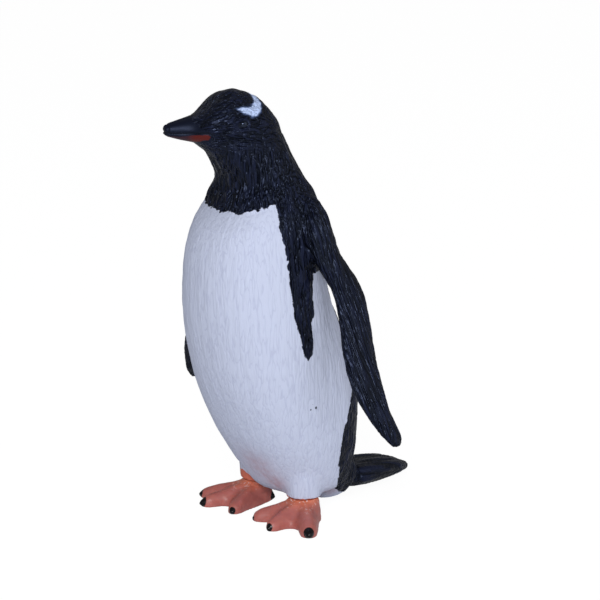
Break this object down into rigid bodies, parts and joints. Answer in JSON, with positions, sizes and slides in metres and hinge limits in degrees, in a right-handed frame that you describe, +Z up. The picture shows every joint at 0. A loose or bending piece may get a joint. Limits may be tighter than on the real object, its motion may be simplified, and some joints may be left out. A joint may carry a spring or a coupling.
{
  "type": "penguin figurine",
  "caption": "Small solid figurine of a standing gentoo penguin with its head turned, flippers held out and a stiff tail, standing on broad webbed feet.",
  "frame": {"origin": "on the ground, below the middle of the bounding box", "axes": "+Z up; the penguin faces -Y and its left side is +X"},
  "size_m": [0.0662, 0.0574, 0.0878],
  "materials": {
    "white_paint": "satin white paint over moulded feathers; the back and flanks are painted black",
    "black_paint": "satin blue-black paint over moulded feathers",
    "salmon_plastic": "satin moulded plastic in its own colour, with gloss black claws",
    "gloss_black": "polished"
  },
  "bodies": {
    "root": {"torso": "white_paint", "head": "black_paint", "eye_left": "gloss_black", "eye_right": "gloss_black", "flipper_left": "black_paint", "flipper_right": "black_paint", "tail": "black_paint", "foot_left": "salmon_plastic", "foot_right": "salmon_plastic"}
  },
  "joints": []
}
